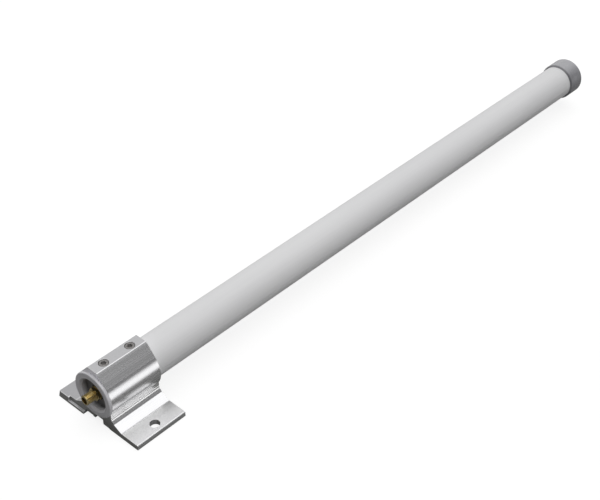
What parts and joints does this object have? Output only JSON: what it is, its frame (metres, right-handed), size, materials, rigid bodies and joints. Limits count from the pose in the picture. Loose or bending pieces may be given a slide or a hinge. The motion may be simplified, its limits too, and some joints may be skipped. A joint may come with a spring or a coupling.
{
  "type": "omnidirectional antenna",
  "caption": "Slim white tube antenna for 2.4 GHz, held by its base in an extruded aluminium wall bracket, with a gold coaxial jack in the base and a grey cap on the tip.",
  "frame": {"origin": "midway between the two foot holes, on the mounting face of the bracket", "axes": "+Z points away from the mounting surface, +Y runs along the tube from the jack to the cap, +X is to the right when looking along +Y"},
  "size_m": [0.0696, 0.5125, 0.0412],
  "materials": {
    "anodised_aluminium": "extruded, clear anodised, fine matt grain with faint die lines",
    "screw_steel": "dark chemically blackened steel, slightly worn",
    "radome_white": "smooth satin off-white fibreglass tube",
    "cap_grey": "moulded light grey, satin",
    "plug_grey": "moulded pale grey, satin",
    "seal_rubber": "black nitrile rubber, matt",
    "gold_plating": "thin gold plating on turned brass",
    "white_ptfe": "waxy white fluoropolymer",
    "brass": "plain turned brass, slightly dull",
    "copper_wire": "enamelled copper wire",
    "tinned_braid": "fine tinned copper braid",
    "brown_jacket": "translucent brown fluoropolymer jacket",
    "black_plastic": "plain black moulded plastic",
    "white_foam": "closed-cell foam with cut faces"
  },
  "bodies": {
    "bracket": {"mounting_bracket": "anodised_aluminium"},
    "antenna": {"base_plug": "plug_grey", "base_plug_seals": "seal_rubber", "cable_braid": "tinned_braid", "cable_centring_disc": "black_plastic", "cable_core": "copper_wire", "cable_dielectric": "white_ptfe", "cable_jacket": "brown_jacket", "choke_sleeve": "brass", "coil_former_1": "black_plastic", "coil_former_2": "black_plastic", "coil_former_3": "black_plastic", "coil_former_4": "black_plastic", "coil_former_5": "black_plastic", "connector_body": "gold_plating", "connector_gasket": "seal_rubber", "connector_insulator": "white_ptfe", "connector_lock_washer": "gold_plating", "connector_nut": "gold_plating", "connector_pin": "gold_plating", "crimp_ferrule": "brass", "end_cap": "cap_grey", "end_cap_seal": "seal_rubber", "foam_spacer_1": "white_foam", "foam_spacer_2": "white_foam", "foam_spacer_3": "white_foam", "foam_spacer_4": "white_foam", "foam_spacer_5": "white_foam", "foam_spacer_6": "white_foam", "phasing_coil_1": "copper_wire", "phasing_coil_2": "copper_wire", "phasing_coil_3": "copper_wire", "phasing_coil_4": "copper_wire", "phasing_coil_5": "copper_wire", "radiator_rod_1": "brass", "radiator_rod_2": "brass", "radiator_rod_3": "brass", "radiator_rod_4": "brass", "radiator_rod_5": "brass", "radiator_rod_6": "brass", "radome_tube": "radome_white", "tip_cushion": "white_foam"},
    "front_screw": {"front_clamp_screw": "screw_steel"},
    "rear_screw": {"rear_clamp_screw": "screw_steel"}
  },
  "joints": [
    {"name": "antenna_slide", "type": "slide", "parent": "bracket", "child": "antenna", "axis": [0, 1, 0], "range_m": [-0.025, 0]},
    {"name": "front_screw_turn", "type": "hinge", "parent": "bracket", "child": "front_screw", "pos_m": [0, -0.01, 0.0409], "axis": [0, 0, 1], "range_deg": [0, 270]},
    {"name": "rear_screw_turn", "type": "hinge", "parent": "bracket", "child": "rear_screw", "pos_m": [0, 0.01, 0.0409], "axis": [0, 0, 1], "range_deg": [0, 270]}
  ]
}
